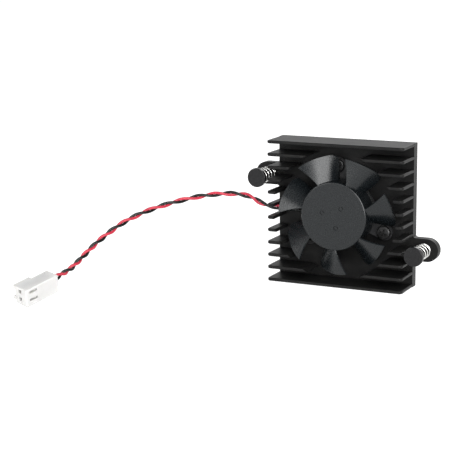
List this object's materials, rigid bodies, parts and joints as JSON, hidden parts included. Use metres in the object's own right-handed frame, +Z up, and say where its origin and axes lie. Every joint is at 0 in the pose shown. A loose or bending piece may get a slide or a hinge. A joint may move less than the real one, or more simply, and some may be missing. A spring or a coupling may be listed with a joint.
{
  "type": "fan heatsink",
  "caption": "Square finned heatsink with a fan sunk into its fins, sprung push pins on two ears and a twisted two-wire lead that ends in a small two-way connector.",
  "frame": {"origin": "centre of the chip contact face, on the back of the heatsink's plate", "axes": "+Y points out of the chip contact face, towards the chip, so the fan faces -Y; +Z is up with the cooler standing on its lowest fin; +X points towards the lower of the two ears"},
  "size_m": [0.1099, 0.0789, 0.045],
  "materials": {
    "black_anodised": "black anodised extrusion, satin",
    "black_moulding": "moulded, fine texture",
    "black_screw": "black oxide",
    "bronze": "sintered, oiled",
    "natural_nylon": "natural nylon",
    "core_steel": "stacked laminations",
    "insulator_moulding": "moulded",
    "enamelled_copper": "enamelled wire",
    "green_board": "solder mask",
    "chip_moulding": "epoxy moulding",
    "ceramic_chip": "ceramic",
    "fan_plastic": "glass-filled, satin",
    "yoke_steel": "drawn steel",
    "ferrite": "bonded ferrite",
    "brass": "turned",
    "shaft_steel": "ground",
    "pin_nylon": "glossy black nylon",
    "spring_steel": "plated spring wire",
    "red_insulation": "soft vinyl insulation",
    "black_insulation": "soft vinyl insulation",
    "solder": "solder",
    "white_nylon": "natural white nylon",
    "tin_plate": "tin-plated"
  },
  "bodies": {
    "cooler": {"heatsink": "black_anodised", "motor_base": "black_moulding", "motor_screws": "black_screw", "sleeve_bearing": "bronze", "thrust_washer": "natural_nylon", "stator_core": "core_steel", "stator_insulator_front": "insulator_moulding", "stator_insulator_rear": "insulator_moulding", "stator_windings": "enamelled_copper", "driver_board": "green_board", "hall_driver_ic": "chip_moulding", "board_capacitor": "ceramic_chip", "board_resistor": "chip_moulding", "inner_lead_red": "red_insulation", "inner_lead_black": "black_insulation", "solder_joints": "solder", "lead_cord": "red_insulation", "connector_housing": "white_nylon", "crimp_terminals": "tin_plate", "spring_left": "spring_steel", "spring_right": "spring_steel"},
    "rotor": {"impeller": "fan_plastic", "rotor_yoke": "yoke_steel", "ring_magnet": "ferrite", "shaft_bush": "brass", "rotor_shaft": "shaft_steel", "shaft_retainer": "natural_nylon"},
    "right_pin": {"push_pin_right": "pin_nylon"},
    "left_pin": {"push_pin_left": "pin_nylon"}
  },
  "joints": [
    {"name": "fan_spin", "type": "hinge", "parent": "cooler", "child": "rotor", "pos_m": [0, 0, 0], "axis": [0, -1, 0], "continuous": true},
    {"name": "right_pin_press", "type": "slide", "parent": "cooler", "child": "right_pin", "axis": [0, 1, 0], "range_m": [0, 0.0043], "stiffness_N_per_m": 1500, "springref_m": -0.002, "deforming": ["spring_right"]},
    {"name": "left_pin_press", "type": "slide", "parent": "cooler", "child": "left_pin", "axis": [0, 1, 0], "range_m": [0, 0.0043], "stiffness_N_per_m": 1500, "springref_m": -0.002, "deforming": ["spring_left"]}
  ]
}
